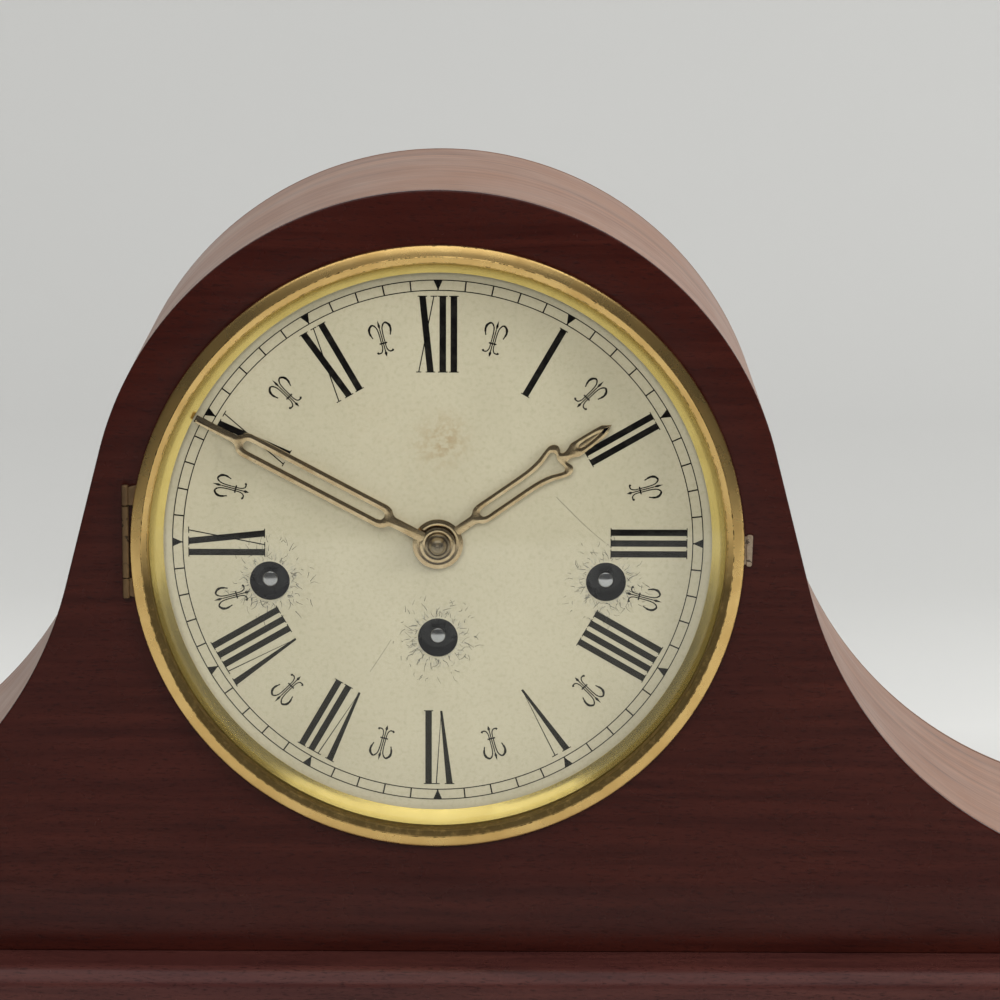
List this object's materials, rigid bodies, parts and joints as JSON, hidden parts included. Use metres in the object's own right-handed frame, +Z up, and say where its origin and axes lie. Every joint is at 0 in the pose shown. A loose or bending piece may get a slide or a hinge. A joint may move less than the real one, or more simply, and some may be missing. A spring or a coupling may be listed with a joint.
{
  "type": "tambour mantel clock",
  "caption": "Humped wooden mantel clock with a hinged brass bezel, Roman dial, pierced hands, winding holes and a pendulum chiming movement.",
  "frame": {"origin": "bottom centre of the base, on the surface that the clock stands on", "axes": "+X to the right as seen from the front, +Y to the back, +Z up; the dial faces -Y"},
  "size_m": [0.44, 0.124, 0.213],
  "materials": {
    "front_wood": "satin",
    "skin_wood": "satin",
    "base_wood": "satin",
    "back_wood": "matt stained",
    "plain_wood": "raw",
    "felt": "matt",
    "bezel_brass": "polished, worn lacquer",
    "sight_brass": "polished",
    "glass": "clear",
    "hinge_brass": "satin",
    "dial_enamel": "satin cream",
    "hand_gilt": "gilt, satin",
    "nut_metal": "turned",
    "movement_brass": "satin",
    "movement_steel": "bright",
    "blued_steel": "dark, satin",
    "iron": "painted black",
    "rod_bronze": "drawn",
    "bob_brass": "polished"
  },
  "bodies": {
    "case": {"front_panel": "front_wood", "back_panel": "back_wood", "top_skin": "skin_wood", "base_board": "base_wood", "feet": "felt", "corner_blocks": "plain_wood", "bezel_hinge_leaf": "hinge_brass", "bezel_hinge_pin": "hinge_brass", "dial_plate": "dial_enamel", "front_plate": "movement_brass", "back_plate": "movement_brass", "plate_pillars": "movement_steel", "movement_screws": "movement_steel", "suspension_cock": "movement_steel", "hammer_arbor": "movement_steel", "rod_block": "iron", "chime_rods": "rod_bronze", "door_hinge_leaf": "hinge_brass", "door_hinge_pin": "hinge_brass"},
    "bezel": {"bezel_ring": "bezel_brass", "bezel_glass": "glass", "sight_ring": "sight_brass"},
    "minute": {"minute_hand": "hand_gilt", "hand_nut": "nut_metal", "cannon_pinion": "movement_brass", "centre_arbor": "movement_brass"},
    "hour": {"hour_hand": "hand_gilt", "hour_wheel": "movement_brass"},
    "motion": {"minute_wheel": "movement_brass"},
    "intermediate": {"intermediate_wheel": "movement_brass"},
    "third": {"third_wheel": "movement_brass"},
    "escape": {"escape_wheel": "movement_brass"},
    "time_spring_drum": {"time_barrel": "movement_brass", "time_mainspring": "movement_steel"},
    "time_arbor": {"time_winding_arbor": "blued_steel"},
    "time_pawl": {"time_click": "movement_steel"},
    "strike_spring_drum": {"strike_barrel": "movement_brass", "strike_mainspring": "movement_steel"},
    "strike_arbor": {"strike_winding_arbor": "blued_steel"},
    "strike_pawl": {"strike_click": "movement_steel"},
    "chime_spring_drum": {"chime_barrel": "movement_brass", "chime_mainspring": "movement_steel"},
    "chime_arbor": {"chime_winding_arbor": "blued_steel"},
    "chime_pawl": {"chime_click": "movement_steel"},
    "strike_second": {"strike_wheel": "movement_brass"},
    "strike_vane": {"strike_fly": "movement_brass"},
    "chime_second": {"chime_wheel": "movement_brass", "chime_drum": "movement_brass"},
    "chime_vane": {"chime_fly": "movement_brass"},
    "pendulum": {"anchor": "movement_steel", "pendulum_rod": "movement_steel", "pendulum_bob": "bob_brass"},
    "rating": {"rating_nut": "movement_brass"},
    "door": {"back_door": "back_wood", "door_leaf": "hinge_brass"},
    "button": {"door_button": "hinge_brass"},
    "striker_1": {"hammer_1": "movement_steel"},
    "striker_2": {"hammer_2": "movement_steel"},
    "striker_3": {"hammer_3": "movement_steel"},
    "striker_4": {"hammer_4": "movement_steel"}
  },
  "joints": [
    {"name": "bezel_open", "type": "hinge", "parent": "case", "child": "bezel", "pos_m": [-0.07855, -0.0466, 0.122], "axis": [0, 0, -1], "range_deg": [0, 110]},
    {"name": "minute_turn", "type": "hinge", "parent": "case", "child": "minute", "pos_m": [0, -0.0119, 0.122], "axis": [0, 1, 0], "continuous": true},
    {"name": "hour_turn", "type": "hinge", "parent": "case", "child": "hour", "pos_m": [0, -0.0119, 0.122], "axis": [0, 1, 0], "continuous": true},
    {"name": "motion_turn", "type": "hinge", "parent": "case", "child": "motion", "pos_m": [0, -0.0119, 0.137], "axis": [0, 1, 0], "continuous": true},
    {"name": "intermediate_turn", "type": "hinge", "parent": "case", "child": "intermediate", "pos_m": [0.01733, -0.0119, 0.11423], "axis": [0, 1, 0], "continuous": true},
    {"name": "time_barrel_turn", "type": "hinge", "parent": "case", "child": "time_spring_drum", "pos_m": [0, -0.0119, 0.0972], "axis": [0, 1, 0], "continuous": true},
    {"name": "third_turn", "type": "hinge", "parent": "case", "child": "third", "pos_m": [-0.00933, -0.0119, 0.13816], "axis": [0, 1, 0], "continuous": true},
    {"name": "escape_turn", "type": "hinge", "parent": "case", "child": "escape", "pos_m": [0, -0.0119, 0.1518], "axis": [0, 1, 0], "continuous": true},
    {"name": "strike_barrel_turn", "type": "hinge", "parent": "case", "child": "strike_spring_drum", "pos_m": [-0.0428, -0.0119, 0.1119], "axis": [0, 1, 0], "continuous": true},
    {"name": "strike_wheel_turn", "type": "hinge", "parent": "case", "child": "strike_second", "pos_m": [-0.0428, -0.0119, 0.1362], "axis": [0, 1, 0], "continuous": true},
    {"name": "strike_fly_turn", "type": "hinge", "parent": "case", "child": "strike_vane", "pos_m": [-0.03078, -0.0119, 0.14822], "axis": [0, 1, 0], "continuous": true},
    {"name": "chime_barrel_turn", "type": "hinge", "parent": "case", "child": "chime_spring_drum", "pos_m": [0.0428, -0.0119, 0.1119], "axis": [0, 1, 0], "continuous": true},
    {"name": "chime_wheel_turn", "type": "hinge", "parent": "case", "child": "chime_second", "pos_m": [0.0428, -0.0119, 0.0876], "axis": [0, 1, 0], "continuous": true},
    {"name": "chime_fly_turn", "type": "hinge", "parent": "case", "child": "chime_vane", "pos_m": [0.03078, -0.0119, 0.07558], "axis": [0, 1, 0], "continuous": true},
    {"name": "time_winding", "type": "hinge", "parent": "case", "child": "time_arbor", "pos_m": [0, -0.0119, 0.0972], "axis": [0, 1, 0], "continuous": true},
    {"name": "time_click_lift", "type": "hinge", "parent": "case", "child": "time_pawl", "pos_m": [-0.011, -0.0308, 0.0896], "axis": [0, 1, 0], "range_deg": [0, 8], "stiffness_Nm_per_rad": 0.01, "springref_deg": -5.73},
    {"name": "strike_winding", "type": "hinge", "parent": "case", "child": "strike_arbor", "pos_m": [-0.0428, -0.0119, 0.1119], "axis": [0, 1, 0], "continuous": true},
    {"name": "strike_click_lift", "type": "hinge", "parent": "case", "child": "strike_pawl", "pos_m": [-0.0318, -0.0308, 0.1195], "axis": [0, 1, 0], "range_deg": [0, 8], "stiffness_Nm_per_rad": 0.01, "springref_deg": -5.73},
    {"name": "chime_winding", "type": "hinge", "parent": "case", "child": "chime_arbor", "pos_m": [0.0428, -0.0119, 0.1119], "axis": [0, 1, 0], "continuous": true},
    {"name": "chime_click_lift", "type": "hinge", "parent": "case", "child": "chime_pawl", "pos_m": [0.0352, -0.0308, 0.1229], "axis": [0, 1, 0], "range_deg": [0, 8], "stiffness_Nm_per_rad": 0.01, "springref_deg": -5.73},
    {"name": "pendulum_swing", "type": "hinge", "parent": "case", "child": "pendulum", "pos_m": [0, 0.0116, 0.1678], "axis": [0, 1, 0], "range_deg": [-4, 4]},
    {"name": "rating_turn", "type": "hinge", "parent": "pendulum", "child": "rating", "pos_m": [0, 0.0116, 0.0448], "axis": [0, 0, 1], "continuous": true},
    {"name": "hammer_1_lift", "type": "hinge", "parent": "case", "child": "striker_1", "pos_m": [0.058, 0.0179, 0.066], "axis": [0, 1, 0], "range_deg": [0, 20]},
    {"name": "hammer_2_lift", "type": "hinge", "parent": "case", "child": "striker_2", "pos_m": [0.058, 0.0225, 0.066], "axis": [0, 1, 0], "range_deg": [0, 20]},
    {"name": "hammer_3_lift", "type": "hinge", "parent": "case", "child": "striker_3", "pos_m": [0.058, 0.0271, 0.066], "axis": [0, 1, 0], "range_deg": [0, 20]},
    {"name": "hammer_4_lift", "type": "hinge", "parent": "case", "child": "striker_4", "pos_m": [0.058, 0.0317, 0.066], "axis": [0, 1, 0], "range_deg": [0, 20]},
    {"name": "door_open", "type": "hinge", "parent": "case", "child": "door", "pos_m": [-0.074, 0.0527, 0.122], "axis": [0, 0, 1], "range_deg": [0, 110]},
    {"name": "button_turn", "type": "hinge", "parent": "case", "child": "button", "pos_m": [0.0775, 0.0496, 0.122], "axis": [0, 1, 0], "range_deg": [0, 90]}
  ],
  "couplings": [
    {"joint": "hour_turn", "follows": "minute_turn", "ratio": 0.083333},
    {"joint": "motion_turn", "follows": "minute_turn", "ratio": -0.33333},
    {"joint": "intermediate_turn", "follows": "minute_turn", "ratio": -0.16667},
    {"joint": "time_barrel_turn", "follows": "minute_turn", "ratio": 0.020833},
    {"joint": "third_turn", "follows": "minute_turn", "ratio": -12},
    {"joint": "escape_turn", "follows": "minute_turn", "ratio": 137.14},
    {"joint": "strike_wheel_turn", "follows": "strike_barrel_turn", "ratio": -8},
    {"joint": "strike_fly_turn", "follows": "strike_barrel_turn", "ratio": 60},
    {"joint": "chime_wheel_turn", "follows": "chime_barrel_turn", "ratio": -8},
    {"joint": "chime_fly_turn", "follows": "chime_barrel_turn", "ratio": 60}
  ]
}
